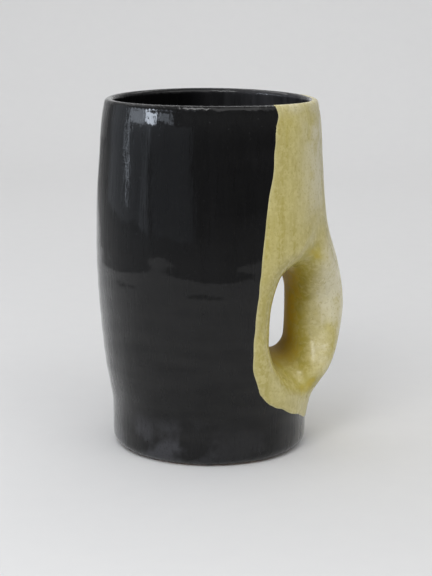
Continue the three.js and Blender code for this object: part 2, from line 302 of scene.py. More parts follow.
# Stage, in metres: white paper on a studio floor, and a wall behind it
PAPER_FRONT = 0.45
PAPER_BACK = 1.2
PAPER_BEND = 0.7
PAPER_BEND_STEPS = 24
PAPER_TOP = 2.2
PAPER_HALF_WIDTH = 0.5
PAPER_GAP = 0.002
WALL_AWAY = 2.0
WALL_HALF_WIDTH = 2.2
FLOOR_REACH = 8.0

# Lamps: name, place, aim, width and height in metres, watts, spread in degrees. A place or aim is a bearing
# in degrees from the camera's side of the jug, a distance from the axis and a height
DAYLIGHT = (0.80, 0.88, 1)
WHITE = (1, 1, 1)
BODY_MIDDLE = (0, 0, 0.1)
BODY_TOP = (0, 0, 0.2)
WINDOWS = (
    ("window", (-66, 1.2, 0.43), BODY_TOP, (0.32, 0.05), 1.15, 180),
    ("window_side", (-82, 1.2, 0.41), BODY_TOP, (0.36, 0.09), 0.45, 180),
    ("window_far", (-48, 1.2, 0.45), BODY_TOP, (0.34, 0.04), 0.16, 180),
    ("window_below", (-94, 1.25, 0.2), BODY_TOP, (1.3, 0.9), 1.4, 180),
    ("window_front", (-66, 1.2, 0.17), BODY_TOP, (0.16, 0.5), 0.16, 180),
    ("window_wide", (-38, 1.2, 0.17), BODY_TOP, (0.9, 0.5), 0.42, 180),
    ("glint", (-18, 1.2, 0.6), BODY_TOP, (0.3, 0.02), 0.1, 180),
    ("strip", (-92, 1.2, 0.25), BODY_TOP, (0.02, 0.4), 0.22, 180),
)
SOFT_LAMPS = (
    ("key", (-20, 0.9, 1.0), BODY_MIDDLE, (0.5, 0.5), 5.4, 180),
    ("right", (70, 1.5, 1.0), BODY_MIDDLE, (0.8, 0.8), 1.2, 180),
    ("left", (-85, 0.6, 0.6), (-85, 0.6, 0), (0.4, 0.4), 0.4, 120),
    ("fill", (30, 2.2, 2.0), BODY_MIDDLE, (2.6, 1.8), 20, 180),
    ("background", (180, 0.9, 1.5), (180, 1.45, 0.3), (3.6, 0.6), 12.5, 180),
)


def smooth_line(places, values):
    """A smooth curve through the points, as a function of the place along it."""
    places = np.array(places, float)
    values = np.array(values, float)
    steps = np.diff(places)
    slopes = np.diff(values) / steps
    inner = (slopes[:-1] * steps[1:] + slopes[1:] * steps[:-1]) / (steps[:-1] + steps[1:])
    tangents = np.concatenate([slopes[:1], inner, slopes[-1:]])

    def curve(at):
        at = np.clip(at, places[0], places[-1])
        span = np.clip(np.searchsorted(places, at) - 1, 0, len(steps) - 1)
        step = steps[span]
        t = (at - places[span]) / step
        rest = 1 - t
        ends = values[span] * rest**2 * (1 + 2 * t) + values[span + 1] * t**2 * (1 + 2 * rest)
        return ends + step * t * rest * (tangents[span] * rest - tangents[span + 1] * t)

    return curve


def smooth_step(low, high, value):
    """0 at the low value, 1 at the high one, and a smooth rise between them."""
    t = np.clip((value - low) / (high - low), 0, 1)
    return t * t * (3 - 2 * t)


def smooth_max(a, b, width):
    """The larger of two fields, with their seam rounded over the given width."""
    overlap = np.maximum(width - np.abs(a - b), 0)
    return np.maximum(a, b) + overlap**2 / (4 * width)


def smooth_min(a, b, width):
    return -smooth_max(-a, -b, width)


def round_max(a, b, radius):
    """The larger of two fields, with a quarter round of the given radius where they meet."""
    corner = np.hypot(np.maximum(a + radius, 0), np.maximum(b + radius, 0))
    return np.minimum(np.maximum(a, b), -radius) + corner


outside_radius = smooth_line(OUTSIDE_HEIGHTS, OUTSIDE_RADII)
yellow_angle = smooth_line(YELLOW_HEIGHTS, YELLOW_ANGLES)
handle_swell = smooth_line(HANDLE_HEIGHTS, HANDLE_SWELLS)


def pressed_plane(z):
    """How far out the pressed side of the wall stands at each height."""
    ramp = np.maximum(z - PRESSED_HIGH, 0) / PRESSED_RAMP_UP
    ramp = ramp + np.maximum(PRESSED_LOW - z, 0) / PRESSED_RAMP_DOWN
    return PRESSED_DEPTH + (WIDEST_RADIUS - PRESSED_DEPTH) * ramp**PRESSED_RAMP_POWER


def ripple(angle, z, turns, length, start):
    return np.sin(turns * angle + z / length + start)


def hand_made_waves(angle, z):
    """Slight unevenness that a turning hand leaves in the wall, positive where the wall lies deeper."""
    total = 0
    for height, first, second in HAND_WAVES:
        total = total + height * (ripple(angle, z, *first) * ripple(angle, z, *second))
    phase = z / RING_LENGTH + RING_SWAY * np.sin(angle + RING_SWAY_START) + np.sin(RING_WOBBLES * angle)
    rings = np.sin(phase) * smooth_step(*RINGS_FADE, z)
    aside = np.arccos(np.cos(angle - FLAT_ANGLE))
    leaning = (z - FLAT_HEIGHT) * smooth_step(*FLAT_FOOT, z) * smooth_step(*FLAT_TOP, z)
    flat = smooth_step(*FLAT_ASIDE, aside) * leaning
    ridge = np.exp(-((z - RIDGE_HEIGHT) / RIDGE_HALF_HEIGHT) ** 2 - (aside / RIDGE_HALF_ANGLE) ** 2)
    return total + RING_DEPTH * rings - FLAT_LEAN * flat - RIDGE_RISE * ridge


def turned_wall(x, y, z):
    """How far a point lies outside the wall as it was turned, before it was pressed in."""
    return np.hypot(x, y) - outside_radius(z)


def handle_bar(x, y, z):
    """The handle beside the opening: a bar with an oval section."""
    reach = outside_radius(z) + handle_swell(z)
    half_depth = (reach - OPENING_SIDE) / 2
    forward = x - OPENING_SIDE - half_depth
    sideways = np.maximum(np.abs(y), HANDLE_LEAST_SIDEWAYS)
    top = smooth_step(HANDLE_TOP_SPREAD_FROM, HANDLE_TOP_SPREAD_TO, z)
    foot = smooth_step(HANDLE_FOOT_SPREAD_FROM, HANDLE_FOOT_SPREAD_TO, z)
    half_width = HANDLE_HALF_WIDTH + HANDLE_TOP_SPREAD * top + HANDLE_FOOT_SPREAD * foot
    power = HANDLE_SQUARENESS
    deep = np.abs(forward / half_depth) ** power
    wide = (sideways / half_width) ** power
    return np.hypot(forward, sideways) * (1 - (deep + wide) ** (-1 / power))


def swollen_wall(x, y, z, wall):
    """The wall above and below the opening, which swells out into the handle."""
    half_width = SWELL_HALF_WIDTH + SWELL_TOP_SPREAD * smooth_step(OPENING_ROOF_START, SWELL_TOP, z)
    across = np.minimum(np.abs(y) / half_width, 1)
    return wall - np.where(x > 0, handle_swell(z) * (1 - across**2) ** 2, 0)


def hollow_depth(x, y, z):
    """1 beside the opening, falling to 0 where its roof and floor have closed in."""
    root = smooth_step(ROOT_NEAR, ROOT_FAR, x)
    roof_root = ROOF_ROOT_LENGTH * root
    floor_root = FLOOR_ROOT_LENGTH * root
    rise = y**2 / (2 * OPENING_ROOF_CURVE)
    fall = y**2 / (2 * OPENING_FLOOR_CURVE)
    across = (y / OPENING_FLOOR_TILT_HALF_WIDTH) ** 2
    tilt = OPENING_FLOOR_TILT * (OPENING_FLOOR_TILT_FROM - x) * across
    roof = smooth_step(OPENING_ROOF_START - roof_root, OPENING_ROOF_END + roof_root, z - rise)
    low, high = OPENING_FLOOR_END - floor_root, OPENING_FLOOR_START + floor_root
    floor = smooth_step(low, high, z + fall - tilt)
    return floor - roof


def outside(points):
    """How far each point lies outside the filled jug with its handle."""
    x, y, z = points.T
    wall = turned_wall(x, y, z) + hand_made_waves(np.arctan2(y, x), z)
    pressed = smooth_max(wall, x - pressed_plane(z), PRESSED_FOLD)
    opened = smooth_min(pressed, handle_bar(x, y, z), OPENING_SEAM)
    closed = swollen_wall(x, y, z, wall)
    return round_max(closed + (opened - closed) * hollow_depth(x, y, z), -z, BASE_EDGE_RADIUS)


def cavity(points):
    """How far each point lies outside the space that holds the liquid."""
    x, y, z = points.T
    taper = np.clip((RIM_HEIGHT - z) / LIP_TAPER_HEIGHT, 0, 1)
    inset = LIP_THICKNESS + (WALL_THICKNESS - LIP_THICKNESS) * taper
    turned = turned_wall(x, y, z) + inset
    pressed = smooth_max(turned, x - pressed_plane(z) + inset, PRESSED_FOLD)
    side = turned + (pressed - turned) * hollow_depth(x, y, z)
    side = side + INSIDE_WAVE_SHARE * hand_made_waves(np.arctan2(y, x) + INSIDE_WAVE_TURN, z)
    return round_max(side, FLOOR_TOP - z, INSIDE_CORNER_RADIUS)


def jug(points):
    """How far each point lies outside the jug's material."""
    angle = np.arctan2(points[:, 1], points[:, 0])
    facing = angle - CAMERA_AZIMUTH + math.pi / 2
    above = points[:, 2] - RIM_HEIGHT - RIM_SADDLE * np.cos(2 * facing)
    outer = round_max(outside(points), above, LIP_ROUNDING)
    inner = round_max(-cavity(points), above, LIP_ROUNDING)
    return np.maximum(outer, inner)


def slope(field, points):
    """The gradient of a field at each point."""
    columns = []
    for axis in np.eye(3) * SLOPE_STEP:
        columns.append((field(points + axis) - field(points - axis)) / (2 * SLOPE_STEP))
    return np.stack(columns, axis=1)


def onto(field, points, rounds):
    """Moves points along the gradient until the field is zero there."""
    for _ in range(rounds):
        gradient = slope(field, points)
        squared_slope = np.maximum((gradient**2).sum(1), LEAST_SQUARED_SLOPE)
        points = points - gradient * (field(points) / squared_slope)[:, None]
    return points


def grid_values(field, low, step, counts):
    """The field on a grid of points, one plane at a time."""
    axes = [low[i] + step * np.arange(counts[i]) for i in range(3)]
    values = np.empty(counts)
    y, z = np.meshgrid(axes[1], axes[2], indexing="ij")
    for i, x in enumerate(axes[0]):
        plane = np.stack([np.full(y.size, x), y.ravel(), z.ravel()], axis=1)
        values[i] = field(plane).reshape(y.shape)
    return values


def net_vertices(values, low, step):
    """One vertex in each grid cell that the surface crosses, and the cells' vertex numbers."""
    inside = values < 0
    cells = tuple(n - 1 for n in values.shape)
    corners = [(i, j, k) for i in (0, 1) for j in (0, 1) for k in (0, 1)]
    windows = [tuple(slice(c[a], c[a] + cells[a]) for a in range(3)) for c in corners]
    filled = sum(inside[w].astype(np.int8) for w in windows)
    active = np.nonzero((filled > 0) & (filled < 8))
    at_corner = [values[tuple(active[a] + c[a] for a in range(3))] for c in corners]
    total = np.zeros((len(active[0]), 3))
    crossings = np.zeros(len(active[0]))
    for m, first in enumerate(corners):
        for n in range(m + 1, 8):
            along = np.array(corners[n]) - first
            if np.abs(along).sum() != 1:
                continue
            a, b = at_corner[m], at_corner[n]
            crossed = (a < 0) != (b < 0)
            t = np.where(crossed, a / np.where(crossed, a - b, 1), 0)
            total += crossed[:, None] * (np.array(first) + t[:, None] * along)
            crossings += crossed
    places = np.stack(active, axis=1) + total / crossings[:, None]
    number = np.full(cells, -1)
    number[active] = np.arange(len(places))
    return np.array(low) + step * places, number


def net_quads(values, number):
    """A quad across every grid edge that the surface crosses, facing outwards."""
    inside = values < 0
    quads = []
    for axis in range(3):
        u, v = (axis + 1) % 3, (axis + 2) % 3
        start = np.take(inside, range(inside.shape[axis] - 1), axis)
        end = np.take(inside, range(1, inside.shape[axis]), axis)
        where = np.argwhere(start != end)
        leaving = start[tuple(where.T)]
        ring = []
        for du, dv in ((0, 0), (1, 0), (1, 1), (0, 1)):
            cell = where.copy()
            cell[:, u] -= 1 - du
            cell[:, v] -= 1 - dv
            ring.append(number[tuple(cell.T)])
        faces = np.stack(ring, axis=1)
        faces[~leaving] = faces[~leaving, ::-1]
        quads.append(faces)
    return np.concatenate(quads)


def split_quads(points, quads):
    """Two triangles for each quad, along its shorter diagonal."""
    a, b, c, d = quads.T
    across = np.linalg.norm(points[a] - points[c], axis=1)
    other = np.linalg.norm(points[b] - points[d], axis=1)
    shorter = (across < other)[:, None]
    first = np.where(shorter, np.stack([a, b, c], 1), np.stack([a, b, d], 1))
    second = np.where(shorter, np.stack([a, c, d], 1), np.stack([b, c, d], 1))
    return np.concatenate([first, second])


def relaxed(points, quads):
    """Each vertex moved to the middle of its neighbours, to even out the mesh."""
    start = quads.ravel()
    end = np.roll(quads, -1, axis=1).ravel()
    ends = np.concatenate([start, end])
    others = np.concatenate([end, start])
    count = np.bincount(ends, minlength=len(points))
    columns = [np.bincount(ends, points[others, i], len(points)) / count for i in range(3)]
    return np.stack(columns, axis=1)


def jug_surface():
    """The jug as one closed mesh of triangles."""
    reach = WIDEST_RADIUS + max(HANDLE_SWELLS) + GRID_MARGIN
    side = WIDEST_RADIUS + GRID_MARGIN
    low = np.array([-side, -side, -GRID_MARGIN])
    high = np.array([reach, side, RIM_HEIGHT + GRID_MARGIN])
    counts = tuple(np.ceil((high - low) / GRID_STEP).astype(int) + 1)
    values = grid_values(jug, low, GRID_STEP, counts)
    points, number = net_vertices(values, low, GRID_STEP)
    quads = net_quads(values, number)
    points = onto(jug, points, PROJECTION_STEPS)
    for _ in range(RELAX_ROUNDS):
        eased = (1 - RELAX_SHARE) * points + RELAX_SHARE * relaxed(points, quads)
        points = onto(jug, eased, SHORT_PROJECTION_STEPS)
    points = onto(jug, points, PROJECTION_STEPS)
    return points, split_quads(points, quads)


def turned_to_front(triangles, front):
    """Triangles turned so that the given corner of each comes first."""
    order = (front[:, None] + np.arange(3)) % 3
    return np.take_along_axis(triangles, order, axis=1)


def halves(triangles, crossed, fresh):
    """Two triangles for each one that is cut from a corner to a fresh point across from it."""
    front = (np.argmax(crossed, axis=1) + 2) % 3
    turned = turned_to_front(triangles, front)
    cut = fresh.max(axis=1)
    return [
        np.stack([turned[:, 0], turned[:, 1], cut], 1),
        np.stack([turned[:, 0], cut, turned[:, 2]], 1),
    ]


def thirds(triangles, crossed, fresh):
    """Three triangles for each one that is cut between fresh points on two of its edges."""
    front = (np.argmin(crossed, axis=1) + 2) % 3
    turned = turned_to_front(triangles, front)
    cuts = turned_to_front(fresh, front)
    m, n = cuts[:, 0], cuts[:, 2]
    return [
        np.stack([turned[:, 0], m, n], 1),
        np.stack([m, turned[:, 1], turned[:, 2]], 1),
        np.stack([m, turned[:, 2], n], 1),
    ]


def cut_along(points, triangles, field, level):
    """Cuts the triangles along a line on which the field has the given level."""

    def height(at):
        return field(at) - level

    value = height(points)
    near = np.abs(value) < SNAP_SHARE * GRID_STEP
    points = points.copy()
    points[near] = onto(height, points[near], SHORT_PROJECTION_STEPS)
    side = np.where(near, 0, np.sign(value)).astype(int)
    corner = side[triangles]
    crossed = corner * np.roll(corner, -1, axis=1) < 0
    starts = triangles[crossed]
    ends = np.roll(triangles, -1, axis=1)[crossed]
    pairs = np.sort(np.stack([starts, ends], axis=1), axis=1)
    edges, which = np.unique(pairs, axis=0, return_inverse=True)
    a, b = edges.T
    share = value[a] / (value[a] - value[b])
    middle = points[a] + share[:, None] * (points[b] - points[a])
    fresh = np.full(triangles.shape, -1)
    fresh[crossed] = len(points) + which.ravel()
    points = np.concatenate([points, onto(jug, middle, SHORT_PROJECTION_STEPS)])
    count = crossed.sum(axis=1)
    once = count == 1
    twice = count == 2
    parts = [triangles[count == 0]]
    parts += halves(triangles[once], crossed[once], fresh[once])
    parts += thirds(triangles[twice], crossed[twice], fresh[twice])
    return points, np.concatenate(parts)


def lip_side(points):
    """Negative inside the jug, positive outside it and zero along the crest of the lip.

    On the far side the zero is moved outwards, because there the lining runs on over the crest.
    """
    run = LINER_FAR_RUN * smooth_step(LINER_FAR_FROM, LINER_FAR_TO, points[:, 1])
    return outside(points) + cavity(points) - run


def above_foot(points):
    """Height above the wavy lower edge of the glaze."""
    angle = np.arctan2(points[:, 1], points[:, 0])
    wave = FOOT_WAVE * np.sin(FOOT_WAVE_TURNS * angle + FOOT_WAVE_START)
    wave = wave + FOOT_FRET * np.sin(FOOT_FRET_TURNS * angle)
    return points[:, 2] - FOOT_EDGE - wave


def yellow_depth(points):
    """How far inside the painted edge of the yellow glaze each point lies."""
    x, y, z = points.T
    angle = np.arctan2(y, x)
    far_side = np.where(y > 0, 1.0, 0.0)
    half = yellow_angle(z) + far_side * FAR_SWAY_DEGREES * np.sin(z / FAR_SWAY_LENGTH + FAR_SWAY_START)
    side = (half - np.abs(angle) / DEGREE) * DEGREE * outside_radius(z)
    wave = np.sin(z / SIDE_WAVE_LENGTH + SIDE_FAR_SHIFT * far_side)
    wave = wave * np.sin(z / SIDE_WAVE_BEAT + SIDE_WAVE_BEAT_START)
    sway = SIDE_FRET_SWAY * np.sin(z / SIDE_FRET_BEAT + far_side)
    fret = np.sin(z / SIDE_FRET_LENGTH + SIDE_FRET_START + sway)
    side = side + SIDE_WAVE * wave + SIDE_FRET * fret
    across = np.abs(angle) / (half * DEGREE)
    low = z - YELLOW_LOWEST - YELLOW_LOW_RISE * across**YELLOW_LOW_POWER
    wave = LOW_WAVE * np.sin(LOW_WAVE_TURNS * angle + LOW_WAVE_START) * np.sin(LOW_WAVE_BEATS * angle)
    sway = LOW_FRET_SWAY * np.sin(LOW_FRET_BEATS * angle + LOW_FRET_START)
    fret = np.sin(LOW_FRET_TURNS * angle + sway)
    low = low + wave + LOW_FRET * fret
    return smooth_min(side, low, YELLOW_CORNER)


def vertex_normals(points, triangles):
    """The mean direction of the faces round each vertex, by their size."""
    a, b, c = (points[triangles[:, i]] for i in range(3))
    faces = np.cross(b - a, c - a)
    normals = np.zeros_like(points)
    for corner in range(3):
        for i in range(3):
            normals[:, i] += np.bincount(triangles[:, corner], faces[:, i], len(points))
    return normals / np.maximum(np.linalg.norm(normals, axis=1), LEAST_LENGTH)[:, None]


def glaze_swell(points):
    """How far the yellow glaze stands proud, rising smoothly from its edges."""
    inside_edge = np.maximum(yellow_depth(points), 0)
    below_lip = np.maximum(lip_side(points) - LINER_EDGE, 0)
    swell = (1 - np.exp(-inside_edge / YELLOW_EDGE_WIDTH)) * (1 - np.exp(-below_lip / YELLOW_LIP_WIDTH))
    return YELLOW_PROUD * swell


def shut_in_share(points, normals):
    """How closely the handle and the pressed wall shut in each point of the hollow, from 0 to 1."""
    total = np.zeros(len(points))
    for distance in SHUT_DISTANCES:
        total += np.clip(1 - outside(points + normals * distance) / distance, 0, 1)
    in_hollow = smooth_step(OPENING_ROOF_END + SHUT_ABOVE_ROOF, OPENING_ROOF_END, points[:, 2])
    return total / len(SHUT_DISTANCES) * in_hollow


def painted_floor_shade_share(points):
    """How much shade is painted at each point: on the floor of the hollow, behind its edge."""
    x, y, z = points.T
    at_floor = smooth_step(*FLOOR_SHADE_HOLLOW, hollow_depth(x, y, z)) * smooth_step(*FLOOR_SHADE_HEIGHTS, z)
    return at_floor * smooth_step(*FLOOR_SHADE_INNER_SIDE, x) * smooth_step(*FLOOR_SHADE_OUTER_SIDE, x)


def thin_glaze_and_sheen_share(points):
    """How pale the yellow is at each point: where the glaze ran thin along the back of the handle and at
    the lip, and as painted sheen on the handle and on the upper wall beside it.
    """
    x, _, z = points.T
    on_handle = smooth_step(*THIN_HANDLE_SIDE, x) * smooth_step(*THIN_HANDLE_FOOT, z)
    on_handle = on_handle * smooth_step(*THIN_HANDLE_TOP, z)
    # Painted sheen on the upper wall beside the handle
    sheen_above_handle = smooth_step(*SHEEN_ABOVE_SIDE, x) * smooth_step(*SHEEN_ABOVE_HEIGHTS, z)
    at_lip = THIN_LIP_SHARE * smooth_step(*THIN_LIP_HEIGHTS, z)
    return np.maximum(on_handle, np.maximum(sheen_above_handle, at_lip))


def painted_inside_light_share(points):
    """How much light is painted on the lining at each point: most under the lip on the handle's side."""
    x, _, z = points.T
    inside = smooth_step(*INSIDE_LIGHT_DEPTHS, lip_side(points))
    return inside * smooth_step(*INSIDE_LIGHT_HEIGHTS, z) * smooth_step(*INSIDE_LIGHT_SIDE, x)


def closed_coat(points, normals, triangles, thickness):
    """A thin closed coat: the given faces, their copies on the inner side, and the rim between."""
    used, faces = np.unique(triangles, return_inverse=True)
    faces = faces.reshape(-1, 3)
    count = len(used)
    top = points[used]
    bottom = top - normals[used] * thickness
    starts = faces.ravel()
    ends = np.roll(faces, -1, axis=1).ravel()
    forward = starts * count + ends
    lone = ~np.isin(ends * count + starts, forward)
    a, b = starts[lone], ends[lone]
    rim = np.concatenate([np.stack([b, a, a + count], 1), np.stack([b, a + count, b + count], 1)])
    vertices = np.concatenate([top, bottom])
    solid = np.concatenate([faces, faces[:, ::-1] + count, rim])
    shading = np.concatenate([normals[used], -normals[used]])
    return used, vertices, solid, shading


def make_piece(name, vertices, faces, shading, material, nodes):
    """A Blender object, in metres, that stands for the given CAD nodes."""
    mesh = bpy.data.meshes.new(name)
    mesh.from_pydata((vertices * MILLIMETRE).tolist(), [], faces.tolist())
    mesh.shade_smooth()
    mesh.normals_split_custom_set_from_vertices(shading.tolist())
    mesh.materials.append(material)
    piece = bpy.data.objects.new(name, mesh)
    bpy.context.scene.collection.objects.link(piece)
    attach(piece, "root")
    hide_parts(*nodes)
    return piece


def make_coat(name, points, normals, triangles, shares, material, node):
    """A coat of glaze, with the given shares kept at its vertices for its material."""
    used, vertices, faces, shading = closed_coat(points, normals, triangles, COAT_THICKNESS)
    piece = make_piece(name, vertices, faces, shading, material, [node])
    for label, values in shares.items():
        attribute = piece.data.attributes.new(label, "FLOAT", "POINT")
        attribute.data.foreach_set("value", np.tile(values[used], 2).astype(np.float32))


def make_clay(points, normals, triangles, bare, clay):
    """The fired clay under the coats, which comes to the surface only at the foot."""
    depth = np.full(len(points), COAT_THICKNESS)
    depth[np.unique(triangles[bare])] = 0
    nodes = ["body_wall", "handle", "floor_slab"]
    nodes += ["floor_slip_joint", "upper_slip_joint", "lower_slip_joint"]
    inset = points - normals * depth[:, None]
    make_piece("clay_body", inset, triangles, normals, clay, nodes)


def new_material(name):
    material = bpy.data.materials.new(name)
    material.use_nodes = True
    tree = material.node_tree
    return material, tree, tree.nodes["Principled BSDF"]


def set_inputs(tree, node, values):
    """Sets a node's inputs to plain values, or links them to the outputs of other nodes."""
    for key, value in values.items():
        if isinstance(value, bpy.types.NodeSocket):
            tree.links.new(value, node.inputs[key])
        else:
            node.inputs[key].default_value = value


def add_node(tree, kind, inputs=None, **settings):
    """A node with its settings and inputs."""
    node = tree.nodes.new(kind)
    for key, value in settings.items():
        setattr(node, key, value)
    set_inputs(tree, node, inputs or {})
    return node


def stretched_noise(tree, scale, detail, stretch=(1, 1, 1)):
    """Noise in the jug's own space, drawn out along each axis by the stretch."""
    place = add_node(tree, "ShaderNodeTexCoord").outputs["Object"]
    scaled = add_node(tree, "ShaderNodeMapping", {"Vector": place, "Scale": stretch})
    links = {"Vector": scaled.outputs["Vector"], "Scale": scale, "Detail": detail}
    return add_node(tree, "ShaderNodeTexNoise", links).outputs["Fac"]


def named_noises(tree, rows):
    return {name: stretched_noise(tree, *row) for name, row in rows.items()}


def remap(tree, value, low, high, out_low=0.0, out_high=1.0):
    """A value moved from one range to another and kept within it."""
    links = {0: value, 1: low, 2: high, 3: out_low, 4: out_high}
    return add_node(tree, "ShaderNodeMapRange", links).outputs[0]


def blend(tree, share, first, second):
    """A colour between two colours."""
    links = {0: share, 6: first, 7: second}
    return add_node(tree, "ShaderNodeMix", links, data_type="RGBA").outputs[2]


def product(tree, a, b):
    return add_node(tree, "ShaderNodeMath", {0: a, 1: b}, operation="MULTIPLY").outputs[0]


def summed(tree, a, b):
    return add_node(tree, "ShaderNodeMath", {0: a, 1: b}, operation="ADD").outputs[0]


def distance_along(tree, axis):
    """How far along an axis of the jug each point lies, in metres."""
    place = add_node(tree, "ShaderNodeTexCoord").outputs["Object"]
    return add_node(tree, "ShaderNodeSeparateXYZ", {"Vector": place}).outputs[axis]


def steepness(tree):
    """1 on an upright surface, falling to 0 where it leans or lies flat."""
    normal = add_node(tree, "ShaderNodeNewGeometry").outputs["Normal"]
    upward = add_node(tree, "ShaderNodeSeparateXYZ", {"Vector": normal}).outputs["Z"]
    lean = add_node(tree, "ShaderNodeMath", {0: upward}, operation="ABSOLUTE").outputs[0]
    return remap(tree, lean, 0.12, 0.3, 1.0, 0.0)


def layer(tree, ground, noise, low, high, strength, colour):
    """A colour laid over the ground where the noise is high."""
    share = product(tree, remap(tree, noise, low, high), strength)
    return blend(tree, share, ground, colour)


def pits(tree):
    """Pin-holes a few millimetres apart: 0 in a pit and 1 around it."""
    place = add_node(tree, "ShaderNodeTexCoord").outputs["Object"]
    spots = add_node(tree, "ShaderNodeTexVoronoi", {"Vector": place, "Scale": PITS_TO_THE_METRE})
    return remap(tree, spots.outputs["Distance"], 0.03, 0.12)


def vertex_share(tree, label):
    return add_node(tree, "ShaderNodeAttribute", attribute_name=label).outputs["Fac"]


def set_bump(tree, shader, height, depth):
    """Surface relief of the given depth in metres."""
    bump = add_node(tree, "ShaderNodeBump", {"Height": height, "Distance": depth, "Strength": 1.0})
    tree.links.new(bump.outputs["Normal"], shader.inputs["Normal"])
    return bump.outputs["Normal"]


def black_relief(tree, noise):
    """The fine relief of the black glaze, in shares of its depth."""
    relief = pits(tree)
    for name, share in BLACK_RELIEF.items():
        relief = summed(tree, relief, product(tree, noise[name], share))
    return relief


def black_glaze_material():
    """Glossy black glaze: streaked above, ringed and clouded below, with dimples and pits, a painted
    highlight low on the foot and painted light on the lining under the lip.
    """
    material, tree, shader = new_material("black_glaze")
    noise = named_noises(tree, BLACK_NOISES)
    low = remap(tree, distance_along(tree, "Z"), *LOW_HEIGHTS)
    # Painted highlight low on the foot, strongest on the side away from the handle
    foot = remap(tree, distance_along(tree, "Z"), *FOOT_HIGHLIGHT_HEIGHTS)
    foot = product(tree, foot, remap(tree, distance_along(tree, "X"), *FOOT_HIGHLIGHT_SIDE, 0.2, 1.0))
    faint = product(tree, low, 0.5)
    streaked = remap(tree, noise["ridges"], 0.35, 0.65, 0.4, 1.0)
    colour = layer(tree, BLACK_GROUND, noise["ridges"], 0.42, 0.7, 0.8, BLACK_RIDGE)
    colour = layer(tree, colour, noise["rings"], 0.45, 0.66, low, BLACK_RING)
    colour = layer(tree, colour, noise["clouds"], 0.46, 0.64, faint, BLACK_CLOUD)
    colour = layer(tree, colour, noise["clouds"], 0.42, 0.6, foot, BLACK_FOOT_PAINTED_HIGHLIGHT)
    colour = layer(tree, colour, noise["grain"], 0.55, 0.7, 0.5, BLACK_GRAIN)
    # Painted light on the lining under the lip
    colour = layer(tree, colour, vertex_share(tree, "painted_tone"), 0.0, 1.0, streaked, BLACK_PAINTED_INSIDE_LIGHT)
    bump = set_bump(tree, shader, black_relief(tree, noise), GLAZE_RELIEF_DEPTH)
    set_inputs(tree, shader, {
        "Base Color": colour,
        "Roughness": remap(tree, noise["streaks"], 0.35, 0.65, 0.25, 0.4),
        "IOR": 1.17,
        "Coat Weight": 1.0,
        "Coat Roughness": 0.04,
        "Coat IOR": 1.33,
        "Coat Normal": bump,
    })
    return material


def open_yellow(tree, noise):
    """The colour of the yellow glaze in the open: streaked, mottled and paler where it ran thin and where
    sheen is painted.
    """
    thin = remap(tree, vertex_share(tree, "thin"), 0.0, 1.0, 0.12, 1.0)
    upright = steepness(tree)
    banded = product(tree, upright, 0.8)
    streaked = product(tree, upright, 0.5)
    blotched = product(tree, thin, 0.55)
    colour = blend(tree, remap(tree, noise["clouds"], 0.35, 0.65), YELLOW_DARK, YELLOW_LIGHT)
    colour = layer(tree, colour, noise["bands"], 0.42, 0.64, banded, YELLOW_BAND)
    colour = layer(tree, colour, noise["streaks"], 0.45, 0.72, streaked, YELLOW_STREAK)
    colour = layer(tree, colour, noise["mottle"], 0.46, 0.6, 0.6, YELLOW_MOTTLE)
    colour = layer(tree, colour, noise["patches"], 0.28, 0.5, thin, YELLOW_THIN_AND_SHEEN)
    colour = layer(tree, colour, noise["blotches"], 0.5, 0.75, blotched, YELLOW_BLOTCH)
    return layer(tree, colour, noise["specks"], 0.55, 0.66, 0.35, YELLOW_SPECK)


def yellow_glaze_material():
    """Mottled olive yellow glaze, browner in the hollow, with painted shade where the hollow shuts it in
    and on the hollow's floor, and a pale edge that is partly thin glaze and partly painted highlight.
    """
    material, tree, shader = new_material("yellow_glaze")
    noise = named_noises(tree, YELLOW_NOISES)
    painted_floor_shade = vertex_share(tree, "floor_shade")
    # Painted shade and browner glaze where the hollow shuts the glaze in
    hollow_shade = vertex_share(tree, "shut")
    uneven = remap(tree, noise["blotches"], 0.3, 0.7, -0.14, 0.14)
    shut = remap(tree, summed(tree, hollow_shade, uneven), 0.2, 0.6)
    hollow_shade = product(tree, hollow_shade, remap(tree, noise["blotches"], 0.3, 0.7, 0.4, 1.6))
    cover = remap(tree, noise["mottle"], 0.4, 0.62, 1.0, 0.6)
    colour = open_yellow(tree, noise)
    colour = layer(tree, colour, hollow_shade, 0.08, 0.3, cover, YELLOW_HOLLOW_SHADE)
    colour = layer(tree, colour, shut, 0.0, 1.0, cover, YELLOW_SHUT_IN)
    # Painted shade on the floor of the hollow
    colour = layer(tree, colour, painted_floor_shade, 0.1, 0.8, 0.85, YELLOW_PAINTED_FLOOR_SHADE)
    # Pale edge: thin glaze with a painted highlight
    colour = layer(tree, colour, vertex_share(tree, "edge"), 1.4, 0.5, 0.35, YELLOW_EDGE)
    gloss = remap(tree, noise["clouds"], 0.3, 0.7, 0.2, 0.32)
    painted_tone = summed(tree, painted_floor_shade, shut)
    set_bump(tree, shader, summed(tree, noise["mottle"], pits(tree)), GLAZE_RELIEF_DEPTH)
    set_inputs(tree, shader, {
        "Base Color": colour,
        "Roughness": summed(tree, gloss, product(tree, painted_tone, 0.2)),
        "Specular IOR Level": remap(tree, painted_tone, 0.2, 0.8, 0.5, 0.06),
        "IOR": 1.5,
    })
    return material


def clay_material(name, dark, light):
    """Bare fired clay: matt, gritty and slightly uneven in colour."""
    material, tree, shader = new_material(name)
    clouds = stretched_noise(tree, 30, 3)
    grit = stretched_noise(tree, 900, 5)
    ground = blend(tree, remap(tree, clouds, 0.3, 0.7), dark, light)
    colour = layer(tree, ground, grit, 0.62, 0.75, 0.5, CLAY_SPECK)
    roughness = remap(tree, grit, 0.3, 0.7, 0.75, 0.95)
    set_inputs(tree, shader, {"Base Color": colour, "Roughness": roughness})
    set_bump(tree, shader, grit, CLAY_RELIEF_DEPTH)
    return material


